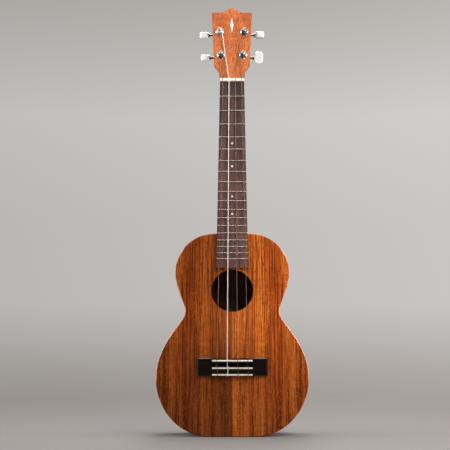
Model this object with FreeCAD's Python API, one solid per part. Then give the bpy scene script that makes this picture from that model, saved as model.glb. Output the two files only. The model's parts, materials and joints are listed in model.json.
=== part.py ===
import FreeCAD, Part
import math
import os

from FreeCAD import Placement, Rotation, Vector

# A tenor ukulele: koa soundbox, mahogany neck, tilted head with four open worm-and-gear tuners.
#
# Everything is drawn face up and turned upright when it is written:
#   x  across the strings, positive on the side of the thinnest string
#   u  up the neck, from the flat tail face
#   h  out of the soundboard, towards the strings
# Upright, x stays X, u becomes Z and h becomes -Y.
# The head has axes of its own, x, v and w: v runs along its tilted face and w stands out of it.

# ---- driving dimensions, in millimetres ----
SCALE = 432.0              # nut to twelfth fret, twice
BODY_LEN = 308.0
BODY_DEPTH = 70.0          # at the tail, over both plates
BACK_TAPER = 1.5           # degrees: the back comes nearer the soundboard towards the neck
TOP_T = 2.0
BACK_T = 2.2
SIDE_T = 2.0
TOP_H = BODY_DEPTH / 2     # outer face of the soundboard
TOP_IN = TOP_H - TOP_T

# the right half of the body's outline, from the tail's centre: lines, and arcs that turn left or right
OUTLINE = [
    ("line", 33.0),
    ("left", 80.6, 54.5),
    ("left", 94.6, 60.4),
    ("left", 164.0, 10.9),
    ("line", 26.4),
    ("right", 21.5, 55.3),
    ("line", 33.8),
    ("left", 57.8, 44.4),
]

HOLE_U = 219.5
HOLE_R = 32.2
HOLE_RING_W = 8.0
HOLE_RING_T = 1.6

# inside the box; blocks and plates are x0, x1, u0 and u1
NECK_BLOCK = (-26, 26, BODY_LEN - SIDE_T - 18, BODY_LEN - SIDE_T)
TAIL_BLOCK = (-29, 29, SIDE_T, SIDE_T + 12)
LINING_W = 4.5
LINING_T = 7.0
BRACE_W = 8.0
BRACE_T = 9.0
BRACE_END = 26.0           # length of the thin end of a transverse brace
UPPER_BRACE_U = 270.0
LOWER_BRACE_U = 170.0
BACK_BRACE_U = [70.0, 165.0, 262.0]
FAN_ANGLES = [-12.0, 0.0, 12.0]
FAN_W = 6.0
FAN_T = 5.0
BRIDGE_PLATE = (-60, 60, 88, 122)
BRIDGE_PLATE_T = 1.8
SEAM_HALF_W = 7.0
SEAM_T = 2.0

NUT_U = 547.0              # the nut's front face, where the scale starts
NUT_T = 5.0
NUT_H = 7.2
NUT_W = 38.0
BOARD_END = 292.6          # fretboard length from the nut
BOARD_END_W = 49.0
BOARD_T = 5.0
FRETS = 18
FRET_W = 2.3
FRET_H = 1.0
TANG_W = 0.6
TANG_H = 1.8
DOT_FRETS = [5, 7, 10, 12]
DOT_R = 1.7
SIDE_DOT_R = 1.0
DOT_T = 1.0
NECK_DEPTH = 15.0          # neck wood at the nut
NECK_DEPTH_HEEL = 17.0
# heel sections: height, half width and reach from the body, from the fretboard's plane to below the back
HEEL = [(35, 23.3, 30), (27, 23.0, 40), (20, 21.8, 41), (12, 19.6, 31), (2, 16.8, 24), (-11, 14.2, 19.5),
        (-30, 12.0, 16.5)]
HEEL_CAP_T = 2.4

BRIDGE_HALF = 54.0
BRIDGE_U0 = 91.5
BRIDGE_U1 = 117.3
BRIDGE_H = 7.6
TIE_HALF = 30.5            # half width of the raised middle
WING_H = 4.6
SADDLE_U = 113.4
SADDLE_T = 2.8
SADDLE_TOP = 9.6           # above the soundboard
STRIP_W = 2.2
STRIP_T = 1.2
TIE_HOLE_H = 4.4           # tie hole's centre above the soundboard
TIE_HOLE_R = 0.9
TIE_FRONT = 103.6          # the tie block ends here, before the channel that the strings cross
CHANNEL_H = 3.0            # the channel's floor above the soundboard

HEAD_TILT = 12.0           # degrees
HEAD_LEN = 127.7
HEAD_SHOULDER = 118.6
HEAD_CARVE = -3.5          # w at which the carving of the head's back begins
HEAD_CORE_T = 12.0
PLATE_T = 2.0              # the koa veneer on the head's face
HEAD_FOOT_HALF = 18.6      # half the head's width at the nut
INLAY_V = 96.0
INLAY_HALF_W = 2.6
INLAY_HALF_L = 14.0
INLAY_T = 0.7

POST_X = {"upper": 19.6, "lower": 17.5}
POST_V = {"upper": 83.2, "lower": 41.7}
POST_R = 3.0
POST_TOP = 11.4            # above the head's core
JOURNAL_R = 2.0
RUN_GAP = 0.05             # radial running clearance
SLEEVE_R = 4.0             # outside of a tuner's sleeve, which fills its hole in the head
TUNER_PLATE_T = 1.2
TUNER_PLATE_HALF_W = 8.6
TUNER_PLATE_V = (-14.2, 18.7)
SCREW_V = [-11.0, 15.5]    # a plate's screws, from the post's axis along the head
SCREW_R = 1.1
SCREW_LEN = 8.0
GEAR_TEETH = 14
GEAR_R = 4.2               # pitch radius
GEAR_T = 3.0
GEAR_ROOT = 3.55
GEAR_TIP = 4.65
SQUARE_HALF = 1.4          # the square that drives the gear
WORM_R = 1.8               # pitch radius
WORM_CORE = 1.2
WORM_TIP = 2.25
WORM_TURNS = 6
WORM_DEPTH = -18.0         # w of the worm's axis and of the gear's middle
SHAFT_R = 1.25
SHAFT_END = 9.4            # the inner end of the worm's shaft, from the post's axis
COLLAR_R = 2.4
STEM_R = 1.9
TENON_R = 1.6              # the shaft's end inside the button
TENON_LEN = 9.0
EAR_X = 7.0                # inner face of each bearing ear, from the post's axis
EAR_T = 1.4
EAR_R = 2.9
BUTTON_X = 18.0            # inner end of a button, from the post's axis
BUTTON_LEN = 14.4
BUTTON_W = 19.6
BUTTON_T = 9.6
BUTTON_TURN = {"lower_bass": 120.0, "lower_treble": 30.0, "upper_bass": 120.0, "upper_treble": 111.0}

NUT_SPREAD = 29.0          # outer string to outer string
SADDLE_SPREAD = 46.4
STRING_R = {"g": 0.40, "c": 0.52, "e": 0.44, "a": 0.36}
STRING_POST = {"g": "lower", "c": "upper", "e": "upper", "a": "lower"}
WIND_TURNS = 3
WIND_W = 4.9               # w at which a string reaches its post

# ---- worked out from those ----
TOOTH_PITCH = 2 * math.pi * GEAR_R / GEAR_TEETH
TAPER = math.tan(math.radians(BACK_TAPER))
BACK_H = -BODY_DEPTH / 2
BOARD_END_U = NUT_U - BOARD_END
HEAD_U = NUT_U + NUT_T
CORE_BACK = -HEAD_CORE_T
PLATE_BACK = CORE_BACK - TUNER_PLATE_T
GEAR_TOP = WORM_DEPTH + GEAR_T / 2
GEAR_BACK = WORM_DEPTH - GEAR_T / 2
WORM_LEAN = TOOTH_PITCH / (2 * math.pi * WORM_R)
STRINGS = ["g", "c", "e", "a"]
STRING_SIDE = {"g": -1, "c": -1, "e": 1, "a": 1}
WORM_V = GEAR_R + WORM_R   # the worm's axis lies this far beyond the post, towards the head's tip
WORM_AXIS = Vector(0, WORM_V, WORM_DEPTH)
X_AXIS = Vector(1, 0, 0)
Y_AXIS = Vector(0, 1, 0)
Z_AXIS = Vector(0, 0, 1)
UPRIGHT = Placement(Vector(0, 0, 0), Rotation(X_AXIS, 90))
HEAD = Placement(Vector(0, HEAD_U, TOP_H), Rotation(X_AXIS, -HEAD_TILT))


# ---- helpers ----
def moved(shape, placement):
    """A copy of the shape, carried by a placement."""
    copy = shape.copy()
    copy.Placement = placement.multiply(copy.Placement)
    return copy


def mirrored(shape):
    """The same shape on the other side of the centre line."""
    return shape.mirror(Vector(0, 0, 0), X_AXIS)


def box(x0, x1, u0, u1, h0, h1):
    return Part.makeBox(x1 - x0, u1 - u0, h1 - h0, Vector(x0, u0, h0))


def cylinder(radius, start, end):
    along = end - start
    return Part.makeCylinder(radius, along.Length, start, along)


def post_cylinder(radius, w0, w1):
    """A cylinder on a post's own axis."""
    return Part.makeCylinder(radius, w1 - w0, Vector(0, 0, w0))


def polygon_face(points):
    return Part.Face(Part.makePolygon([Vector(*p) for p in points + points[:1]]))


def profile_along_x(points, x0, x1):
    """A prism along x whose section is drawn with (u, h) points."""
    return polygon_face([(x0, u, h) for u, h in points]).extrude(Vector(x1 - x0, 0, 0))


def neck_width(u):
    """Width of the fretboard and of the neck under it."""
    return NUT_W + (BOARD_END_W - NUT_W) * (NUT_U - u) / BOARD_END


def fret_u(number):
    return NUT_U - SCALE * (1 - 2 ** (-number / 12))


def back_h(u):
    """Height of the back's outer face, which is below zero."""
    return BACK_H + u * TAPER


# ---- the outline ----
def bout_edges(inset):
    """The outline's right half, drawn inwards by inset, as tangent lines and arcs."""
    x, u, heading = 0.0, inset, 0.0
    edges = []
    closing = [("left", None, None)]
    for step in OUTLINE + closing:
        start = Vector(x, u, 0)
        if step[0] == "line":
            x += step[1] * math.cos(heading)
            u += step[1] * math.sin(heading)
            edges.append(Part.LineSegment(start, Vector(x, u, 0)).toShape())
            continue
        side = 1 if step[0] == "left" else -1
        if step[1] is None:
            turn = math.pi - heading
            radius = (BODY_LEN - inset - u) / (1 + math.cos(heading))
        else:
            turn = math.radians(step[2])
            radius = step[1] - side * inset
        centre = Vector(x - side * radius * math.sin(heading), u + side * radius * math.cos(heading), 0)
        points = []
        for share in (0.5, 1.0):
            angle = heading + side * turn * share
            points.append(centre + Vector(side * radius * math.sin(angle),
                                          -side * radius * math.cos(angle), 0))
        edges.append(Part.Arc(start, points[0], points[1]).toShape())
        x, u = points[1].x, points[1].y
        heading += side * turn
    edges.append(Part.LineSegment(Vector(x, u, 0), Vector(0, u, 0)).toShape())
    return edges


def half_prism(inset, h0, h1):
    """Everything within the outline's right half, between two heights."""
    edges = bout_edges(inset)
    edges.append(Part.LineSegment(Vector(0, BODY_LEN - inset, 0), Vector(0, inset, 0)).toShape())
    face = Part.Face(Part.Wire(edges))
    return moved(face, Placement(Vector(0, 0, h0), Rotation())).extrude(Vector(0, 0, h1 - h0))


def full_prism(inset, h0, h1):
    half = half_prism(inset, h0, h1)
    return half.fuse(mirrored(half)).removeSplitter()


def above_back(lift, h1):
    """The space from a plane parallel to the back, lift above its outer face, up to a height."""
    points = [(-20, back_h(-20) + lift), (HEAD_U, back_h(HEAD_U) + lift), (HEAD_U, h1), (-20, h1)]
    return profile_along_x(points, -150, 150)


def back_layer(lift0, lift1):
    """A layer parallel to the back."""
    points = [(-20, back_h(-20) + lift0), (HEAD_U, back_h(HEAD_U) + lift0),
              (HEAD_U, back_h(HEAD_U) + lift1), (-20, back_h(-20) + lift1)]
    return profile_along_x(points, -150, 150)


# ---- soundbox ----
def soundboard_half():
    plate = half_prism(0, TOP_IN, TOP_H)
    return plate.cut(cylinder(HOLE_R, Vector(0, HOLE_U, 0), Vector(0, HOLE_U, 50)))


def back_half():
    return half_prism(0, BACK_H, TOP_IN).common(back_layer(0, BACK_T))


def side_half():
    ring = half_prism(0, BACK_H, TOP_IN).cut(half_prism(SIDE_T, BACK_H - 1, TOP_H))
    return ring.common(above_back(BACK_T, TOP_IN))


def end_block(extent):
    return box(*extent, BACK_H, TOP_IN).common(above_back(BACK_T, TOP_IN))


def lining_ring(h0, h1):
    ring = full_prism(SIDE_T, h0, h1).cut(full_prism(SIDE_T + LINING_W, h0 - 1, h1 + 1))
    for extent in (NECK_BLOCK, TAIL_BLOCK):
        ring = ring.cut(box(*extent, BACK_H - 1, TOP_H))
    return ring


def top_linings():
    return lining_ring(TOP_IN - LINING_T, TOP_IN)


def back_linings():
    return lining_ring(BACK_H, TOP_IN).common(back_layer(BACK_T, BACK_T + LINING_T))


def transverse_brace(u, face_h, depth):
    """A brace glued to a plate at face_h, thinned towards both ends. A negative depth points down."""
    reach = 130
    thin = depth / 4
    inside = full_prism(SIDE_T + LINING_W, BACK_H, TOP_H).common(box(-reach, reach, u - 4, u + 4, -50, 50))
    half = inside.BoundBox.XMax
    points = [(-half, face_h), (half, face_h), (half, face_h + thin), (half - BRACE_END, face_h + depth),
              (BRACE_END - half, face_h + depth), (-half, face_h + thin)]
    face = polygon_face([(x, u - BRACE_W / 2, h) for x, h in points])
    return face.extrude(Vector(0, BRACE_W, 0)).common(inside)


def bridge_plate():
    return box(*BRIDGE_PLATE, TOP_IN - BRIDGE_PLATE_T, TOP_IN)


def fan_braces(plate):
    """Three struts that fan out from the lower transverse brace and are notched over the bridge plate."""
    length = LOWER_BRACE_U - BRACE_W / 2 - 22
    bars = []
    for angle in FAN_ANGLES:
        bar = box(-FAN_W / 2, FAN_W / 2, -length, 0, TOP_IN - FAN_T, TOP_IN)
        spread = Vector(2.2 * angle, LOWER_BRACE_U - BRACE_W / 2 - 1.5, 0)
        bars.append(moved(bar, Placement(spread, Rotation(Z_AXIS, angle))).cut(plate))
    return Part.makeCompound(bars)


def soundhole_ring():
    top = Vector(0, HOLE_U, TOP_IN)
    low = Vector(0, HOLE_U, TOP_IN - HOLE_RING_T)
    return cylinder(HOLE_R + HOLE_RING_W, low, top).cut(cylinder(HOLE_R, low, top))


def back_braces():
    """Transverse braces that stand on the back, each square to it."""
    braces = []
    for u in BACK_BRACE_U:
        brace = transverse_brace(u, back_h(u) - 1, BRACE_T + BACK_T + 1)
        braces.append(brace.common(above_back(BACK_T, TOP_IN)))
    return Part.makeCompound(braces)


def back_seam_strip(braces):
    """A cross-grain strip along the back's seam, let into the braces' gaps."""
    u0 = TAIL_BLOCK[3]
    u1 = NECK_BLOCK[2]
    strip = box(-SEAM_HALF_W, SEAM_HALF_W, u0, u1, BACK_H, TOP_IN)
    strip = strip.common(back_layer(BACK_T, BACK_T + SEAM_T))
    return strip.cut(braces)


# ---- neck and head ----
def d_section(half_width, depth, placement):
    """A D-shaped section: flat on top, half an ellipse below, in the x and h plane."""
    long_way = max(half_width, depth)
    ellipse = Part.Ellipse(Vector(0, 0, 0), long_way, min(half_width, depth))
    turn = Rotation() if half_width >= depth else Rotation(Z_AXIS, 90)
    start = math.pi if half_width >= depth else math.pi / 2
    arc = Part.ArcOfEllipse(ellipse, start, start + math.pi).toShape()
    arc = moved(arc, Placement(Vector(0, 0, 0), turn))
    line = Part.LineSegment(Vector(half_width, 0, 0), Vector(-half_width, 0, 0)).toShape()
    wire = Part.Wire([arc, line])
    stand_up = Placement(Vector(0, 0, 0), Rotation(X_AXIS, 90))
    return moved(wire, placement.multiply(stand_up))


def neck_shaft():
    near = Placement(Vector(0, BODY_LEN, TOP_H), Rotation())
    far = Placement(Vector(0, NUT_U, TOP_H), Rotation())
    heel_end = d_section(neck_width(BODY_LEN) / 2, NECK_DEPTH_HEEL, near)
    nut_end = d_section(NUT_W / 2, NECK_DEPTH, far)
    return Part.makeLoft([heel_end, nut_end], True, True)


def neck_throat():
    """Carries the shaft's round back into the head's flat one."""
    near = Placement(Vector(0, NUT_U, TOP_H), Rotation())
    far = HEAD.multiply(Placement(Vector(0, 30, -0.5), Rotation()))
    nut_end = d_section(NUT_W / 2, NECK_DEPTH, near)
    head_end = d_section(NUT_W / 2 + 3, HEAD_CORE_T - 0.4, far)
    return Part.makeLoft([nut_end, head_end], True, True)


def heel_loft():
    wires = []
    for h, half_width, reach in HEEL:
        wire = d_section(half_width, reach, Placement(Vector(0, 0, 0), Rotation(X_AXIS, 90)))
        wires.append(moved(wire, Placement(Vector(0, BODY_LEN, h), Rotation())))
    return Part.makeLoft(wires, True, False)


def heel_cap():
    return heel_loft().common(back_layer(0, HEEL_CAP_T))


def head_half_points():
    """The right edge of the head from the nut to its peak, as lines and three-point arcs in x and v."""
    return [
        ("line", (HEAD_FOOT_HALF, 0), (18.9, 5.0)),
        ("arc", (18.9, 5.0), (20.6, 12.6), (24.2, 18.4)),
        ("line", (24.2, 18.4), (28.2, 24.6)),
        ("line", (28.2, 24.6), (32.4, HEAD_SHOULDER)),
    ] + head_tip_points()


def head_back_points():
    """The same edge on the head's back, carved away below the tuners."""
    return [
        ("line", (10.0, 0), (11.0, 7.5)),
        ("arc", (11.0, 7.5), (15.0, 16.5), (22.5, 24.0)),
        ("line", (22.5, 24.0), (28.62, 34.0)),
        ("line", (28.62, 34.0), (32.4, HEAD_SHOULDER)),
    ] + head_tip_points()


def head_tip_points():
    return [
        ("line", (32.4, HEAD_SHOULDER), (19.5, HEAD_SHOULDER + 0.6)),
        ("arc", (19.5, HEAD_SHOULDER + 0.6), (13.5, HEAD_SHOULDER + 1.9), (7.5, HEAD_SHOULDER + 5.2)),
        ("arc", (7.5, HEAD_SHOULDER + 5.2), (3.6, HEAD_SHOULDER + 8.0), (0, HEAD_LEN)),
    ]


def head_wire(points, w):
    """The closed outline of the head at one depth, in order round the right side and back down the left."""
    edges = []
    for side in (1, -1):
        for kind, *places in points if side > 0 else reversed(points):
            ends = [Vector(side * x, v, w) for x, v in places[::side]]
            curve = Part.LineSegment(*ends) if kind == "line" else Part.Arc(*ends)
            edges.append(curve.toShape())
    foot_half = points[0][1][0]
    foot = [Vector(-foot_half, 0, w), Vector(foot_half, 0, w)]
    edges.append(Part.LineSegment(*foot).toShape())
    return Part.Wire(edges)


def head_slab(w0, w1):
    return Part.Face(head_wire(head_half_points(), w0)).extrude(Vector(0, 0, w1 - w0))


def head_core():
    """The head's wood, straight-sided near the face and carved away towards the neck behind it."""
    rims = [head_wire(head_back_points(), CORE_BACK), head_wire(head_half_points(), HEAD_CARVE)]
    return Part.makeLoft(rims, True, True).fuse(head_slab(HEAD_CARVE, 0))


def post_places():
    """Name, side, x and v of each post, from bass to treble and from the nut to the tip."""
    places = []
    for row in ("lower", "upper"):
        for name, side in (("bass", -1), ("treble", 1)):
            places.append((row + "_" + name, side, POST_X[row], POST_V[row]))
    return places


def cut_post_holes(slab):
    for _, side, x, v in post_places():
        slab = slab.cut(cylinder(SLEEVE_R, Vector(side * x, v, -30), Vector(side * x, v, 30)))
    return slab


def cut_screw_holes(slab):
    for _, side, x, v in post_places():
        for offset in SCREW_V:
            start = Vector(side * x, v + offset, CORE_BACK - 1)
            slab = slab.cut(cylinder(SCREW_R, start, start + Vector(0, 0, SCREW_LEN + 1)))
    return slab


def neck():
    """Shaft, throat, heel and head core, carved from one piece of wood."""
    below_cap = above_back(HEEL_CAP_T, TOP_H + 1)
    wood = neck_shaft().fuse(neck_throat()).fuse(heel_loft().common(below_cap))
    wood = wood.fuse(moved(head_core(), HEAD))
    # nothing stands in front of the neck's top or of the head's face
    wood = wood.cut(box(-40, 40, BODY_LEN - 5, HEAD_U, TOP_H, TOP_H + 30))
    wood = moved(wood, HEAD.inverse()).cut(box(-40, 40, 0, HEAD_LEN + 10, 0, 30))
    return moved(cut_screw_holes(cut_post_holes(wood)), HEAD).removeSplitter()


def headplate_inlay():
    """A slim pearl lozenge, flush with the veneer."""
    points = [(0, -INLAY_HALF_L), (INLAY_HALF_W, 0), (0, INLAY_HALF_L), (-INLAY_HALF_W, 0)]
    face = polygon_face([(x, INLAY_V + v, PLATE_T - INLAY_T) for x, v in points])
    return face.extrude(Vector(0, 0, INLAY_T))


def headplate(inlay):
    """The veneer butts against the nut, which leans over it."""
    plate = cut_post_holes(head_slab(0, PLATE_T)).cut(inlay)
    return moved(plate, HEAD).cut(box(-40, 40, NUT_U, HEAD_U, 0, 60))


# ---- fretboard, frets and nut ----
def dot_places():
    """Middle of the space behind each dotted fret."""
    return [(fret_u(n - 1) + fret_u(n)) / 2 for n in DOT_FRETS]


def fret_dots():
    top = TOP_H + BOARD_T
    return Part.makeCompound([cylinder(DOT_R, Vector(0, u, top - DOT_T), Vector(0, u, top))
                              for u in dot_places()])


def side_dots():
    dots = []
    for u in dot_places():
        edge = Vector(-neck_width(u) / 2 - 1, u, TOP_H + BOARD_T / 2)
        dot = cylinder(SIDE_DOT_R, edge, edge + Vector(DOT_T + 1, 0, 0))
        dots.append(dot.common(board_blank()))
    return Part.makeCompound(dots)


def board_blank():
    half0 = BOARD_END_W / 2
    half1 = NUT_W / 2
    face = polygon_face([(-half0, BOARD_END_U, TOP_H), (half0, BOARD_END_U, TOP_H),
                         (half1, NUT_U, TOP_H), (-half1, NUT_U, TOP_H)])
    return face.extrude(Vector(0, 0, BOARD_T))


def fret(number):
    """A crown on the board, with its tang in the slot below."""
    u = fret_u(number)
    top = TOP_H + BOARD_T
    half = neck_width(u) / 2 - 0.15
    near = Vector(-half, u - FRET_W / 2, top)
    peak = Vector(-half, u, top + FRET_H)
    far = Vector(-half, u + FRET_W / 2, top)
    section = Part.Wire([Part.Arc(near, peak, far).toShape(), Part.LineSegment(far, near).toShape()])
    crown = Part.Face(section).extrude(Vector(2 * half, 0, 0))
    tang = box(-half, half, u - TANG_W / 2, u + TANG_W / 2, top - TANG_H, top + FRET_H / 3)
    return crown.fuse(tang).removeSplitter()


def frets():
    return Part.makeCompound([fret(n) for n in range(1, FRETS + 1)])


def fretboard(fret_set, dots, edge_dots):
    return board_blank().cut(fret_set).cut(dots).cut(edge_dots)


def nut(channels):
    """Bone, high at the board's end and falling away towards the head."""
    top = TOP_H + NUT_H
    points = [(NUT_U, TOP_H), (HEAD_U, TOP_H), (HEAD_U, top - 1.6), (NUT_U + 2.6, top - 0.3),
              (NUT_U + 1.2, top), (NUT_U, top - 0.3)]
    blank = profile_along_x(points, -NUT_W / 2, NUT_W / 2)
    for channel in channels:
        blank = blank.cut(channel)
    return blank


# ---- bridge ----
def string_x(name, spread):
    place = STRINGS.index(name) - 1.5
    return place * spread / 3


def bridge_blank():
    """Low wings with sloped ends, and a raised middle with a saddle ridge and a tie block."""
    low = TOP_H
    wing = TOP_H + WING_H
    high = TOP_H + BRIDGE_H
    slope = 2.2
    wings = polygon_face([(-BRIDGE_HALF, BRIDGE_U0, low), (BRIDGE_HALF, BRIDGE_U0, low),
                          (BRIDGE_HALF, BRIDGE_U0, low + 1.6), (BRIDGE_HALF - slope, BRIDGE_U0, wing),
                          (slope - BRIDGE_HALF, BRIDGE_U0, wing), (-BRIDGE_HALF, BRIDGE_U0, low + 1.6)])
    wings = wings.extrude(Vector(0, BRIDGE_U1 - BRIDGE_U0, 0))
    middle = [(BRIDGE_U0, low), (BRIDGE_U1, low), (BRIDGE_U1, wing), (BRIDGE_U1 - 1.4, high),
              (SADDLE_U - 2.7, high), (SADDLE_U - 6.6, low + CHANNEL_H), (TIE_FRONT, low + CHANNEL_H),
              (TIE_FRONT, high), (BRIDGE_U0, high)]
    return wings.cut(box(-TIE_HALF, TIE_HALF, BRIDGE_U0 - 1, BRIDGE_U1 + 1, low, wing + 1)).fuse(
        profile_along_x(middle, -TIE_HALF, TIE_HALF)).removeSplitter()


def saddle_blank():
    """Bone with a round crown, its lower third in the bridge's slot."""
    top = TOP_H + SADDLE_TOP
    half = SADDLE_T / 2
    end = -TIE_HALF
    foot = TOP_H + 2.6
    shoulder = top - 0.9
    corners = [Vector(end, SADDLE_U - half, shoulder), Vector(end, SADDLE_U - half, foot),
               Vector(end, SADDLE_U + half, foot), Vector(end, SADDLE_U + half, shoulder)]
    edges = [Part.LineSegment(a, b).toShape() for a, b in zip(corners, corners[1:])]
    edges.append(Part.Arc(corners[3], Vector(end, SADDLE_U, top), corners[0]).toShape())
    return Part.Face(Part.Wire(edges)).extrude(Vector(2 * TIE_HALF, 0, 0))


def tie_block_strips():
    """Two bone strips let into the tie block's top edges."""
    high = TOP_H + BRIDGE_H
    strips = []
    for u in (BRIDGE_U0, TIE_FRONT - STRIP_W):
        strips.append(box(-TIE_HALF, TIE_HALF, u, u + STRIP_W, high - STRIP_T, high))
    return Part.makeCompound(strips)


def bridge(saddle_bar, strips):
    block = bridge_blank().cut(saddle_bar).cut(strips)
    for name in STRINGS:
        x = string_x(name, SADDLE_SPREAD)
        h = TOP_H + TIE_HOLE_H
        block = block.cut(cylinder(TIE_HOLE_R, Vector(x, BRIDGE_U0 - 2, h), Vector(x, TIE_FRONT + 1.5, h)))
    return block


# ---- strings ----
def cord_wire(points, radii):
    """Straight runs through the points, with a tangent arc of the given radius at each inner one."""
    edges = []
    last = points[0]
    for i in range(1, len(points) - 1):
        into = (points[i] - points[i - 1]).normalize()
        out = (points[i + 1] - points[i]).normalize()
        turn = into.getAngle(out)
        back = radii[i - 1] * math.tan(turn / 2)
        first = points[i] - into * back
        end = points[i] + out * back
        inward = (out - into).normalize()
        middle = points[i] + inward * radii[i - 1] * (1 / math.cos(turn / 2) - 1)
        edges.append(Part.LineSegment(last, first).toShape())
        edges.append(Part.Arc(first, middle, end).toShape())
        last = end
    edges.append(Part.LineSegment(last, points[-1]).toShape())
    return Part.Wire(edges)


def tube(wire, radius):
    start = wire.Edges[0].firstVertex().Point
    direction = wire.Edges[0].tangentAt(wire.Edges[0].FirstParameter)
    circle = Part.Wire([Part.makeCircle(radius, start, direction)])
    return wire.makePipeShell([circle], True, False)


def string_end(name, nut_point):
    """Where a string meets its post, on the side that faces the centre line."""
    row = STRING_POST[name]
    side = STRING_SIDE[name]
    reach = POST_R + STRING_R[name] + RUN_GAP
    start = HEAD.inverse().multVec(nut_point)
    dx = side * POST_X[row] - start.x
    dv = POST_V[row] - start.y
    distance = math.hypot(dx, dv)
    bearing = math.atan2(dx, dv) - side * math.asin(reach / distance)
    length = math.sqrt(distance ** 2 - reach ** 2)
    touch = Vector(start.x + length * math.sin(bearing), start.y + length * math.cos(bearing), WIND_W)
    return HEAD.multVec(touch)


def string_points(name):
    """Tucked end, over the tie block, back through its hole, over saddle and nut, and to the post."""
    r = STRING_R[name]
    x = string_x(name, SADDLE_SPREAD)
    over = TOP_H + BRIDGE_H + r + 0.02
    hole = TOP_H + TIE_HOLE_H
    beside = 2 * r + 0.25
    nut_point = Vector(string_x(name, NUT_SPREAD), NUT_U + 1.2, TOP_H + NUT_H - 0.5 + r)
    return [
        Vector(x + beside, TIE_FRONT + r + 0.1, over - 3.0),
        Vector(x + beside, TIE_FRONT + r + 0.1, over),
        Vector(x + 0.6, BRIDGE_U0 - r - 0.2, over),
        Vector(x + 0.1, BRIDGE_U0 - r - 0.2, hole),
        Vector(x, TIE_FRONT + 1.0, hole),
        Vector(x, SADDLE_U, TOP_H + SADDLE_TOP - 0.15 + r),
        nut_point,
        string_end(name, nut_point),
    ]


def string(name, grow):
    """A string, or with grow the channel that it lies in."""
    r = STRING_R[name]
    tight = r + 0.35
    wire = cord_wire(string_points(name), [tight, tight, tight, 1.5, 1.2, 3.0])
    return tube(wire, r + grow)


# ---- tuners, each drawn about its post's axis with its button towards +x ----
def square_bar(w0, w1):
    return box(-SQUARE_HALF, SQUARE_HALF, -SQUARE_HALF, SQUARE_HALF, w0, w1)


def tuner_post():
    post = post_cylinder(POST_R, CORE_BACK + 0.1, POST_TOP)
    post = post.cut(cylinder(0.9, Vector(-5, 0, POST_TOP - 2.6), Vector(5, 0, POST_TOP - 2.6)))
    top = [e for e in post.Edges if abs(e.CenterOfMass.z - POST_TOP) < 0.01]
    post = post.makeFillet(0.8, top)
    journal = post_cylinder(JOURNAL_R, GEAR_TOP, CORE_BACK + 0.1)
    square = square_bar(GEAR_BACK, GEAR_TOP)
    tapped = post_cylinder(0.9, GEAR_BACK - 1, GEAR_BACK + 4)
    return post.fuse(journal).fuse(square).cut(tapped).removeSplitter()


def gear_section(w, turn):
    """The gear's outline at one height: straight-sided teeth, the first one towards +v."""
    step = 2 * math.pi / GEAR_TEETH
    corners = [(-0.62 / GEAR_ROOT, GEAR_ROOT), (-0.26 / GEAR_TIP, GEAR_TIP),
               (0.26 / GEAR_TIP, GEAR_TIP), (0.62 / GEAR_ROOT, GEAR_ROOT)]
    points = []
    for tooth in range(GEAR_TEETH):
        for angle, radius in corners:
            bearing = tooth * step + angle + turn
            points.append(Vector(-radius * math.sin(bearing), radius * math.cos(bearing), w))
    return Part.makePolygon(points + points[:1])


def tuner_gear():
    """Helical teeth that lean with the worm's thread, and a square hole for the post."""
    lean = WORM_LEAN * (GEAR_T / 2) / GEAR_R
    sections = [gear_section(GEAR_BACK, -lean), gear_section(GEAR_TOP, lean)]
    wheel = Part.makeLoft(sections, True, True)
    return wheel.cut(square_bar(GEAR_BACK - 1, GEAR_TOP + 1))


def gear_screw():
    head = post_cylinder(2.5, GEAR_BACK - 1.5, GEAR_BACK)
    slot = box(-3, 3, -0.3, 0.3, GEAR_BACK - 2, GEAR_BACK - 0.9)
    return head.cut(slot).fuse(post_cylinder(0.9, GEAR_BACK, GEAR_BACK + 3.8))


def winding(name):
    """A few turns of string round the post, above the turn where the string arrives."""
    r = STRING_R[name]
    middle = POST_R + RUN_GAP + r
    rings = None
    for turn in range(1, WIND_TURNS + 1):
        ring = Part.makeTorus(middle, r, Vector(0, 0, WIND_W + turn * 2 * r * 0.98 + 0.1))
        rings = ring if rings is None else rings.fuse(ring)
    # the turns bed on a thin band that hugs the post
    low = WIND_W + 2 * r + 0.1
    band = post_cylinder(middle, low, low + (WIND_TURNS - 1) * 2 * r * 0.98)
    band = band.cut(post_cylinder(POST_R, low - 1, low + 10))
    return rings.fuse(band).removeSplitter()


def worm_thread():
    """A right-handed ridge round the x axis, with a gap at the post's own x."""
    height = WORM_TURNS * TOOTH_PITCH
    path = Part.makeHelix(TOOTH_PITCH, height, WORM_CORE)
    corners = [(WORM_CORE - 0.15, -0.42), (WORM_TIP, -0.2), (WORM_TIP, 0.2), (WORM_CORE - 0.15, 0.42)]
    points = [Vector(radius, 0, along) for radius, along in corners]
    ridge = Part.Wire(path).makePipeShell([Part.makePolygon(points + points[:1])], True, True)
    ridge.translate(Vector(0, 0, -height / 2))
    onto_x = Placement(Vector(0, 0, 0), Rotation(Vector(1, 1, 1), 120))
    return moved(ridge, onto_x)


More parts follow.
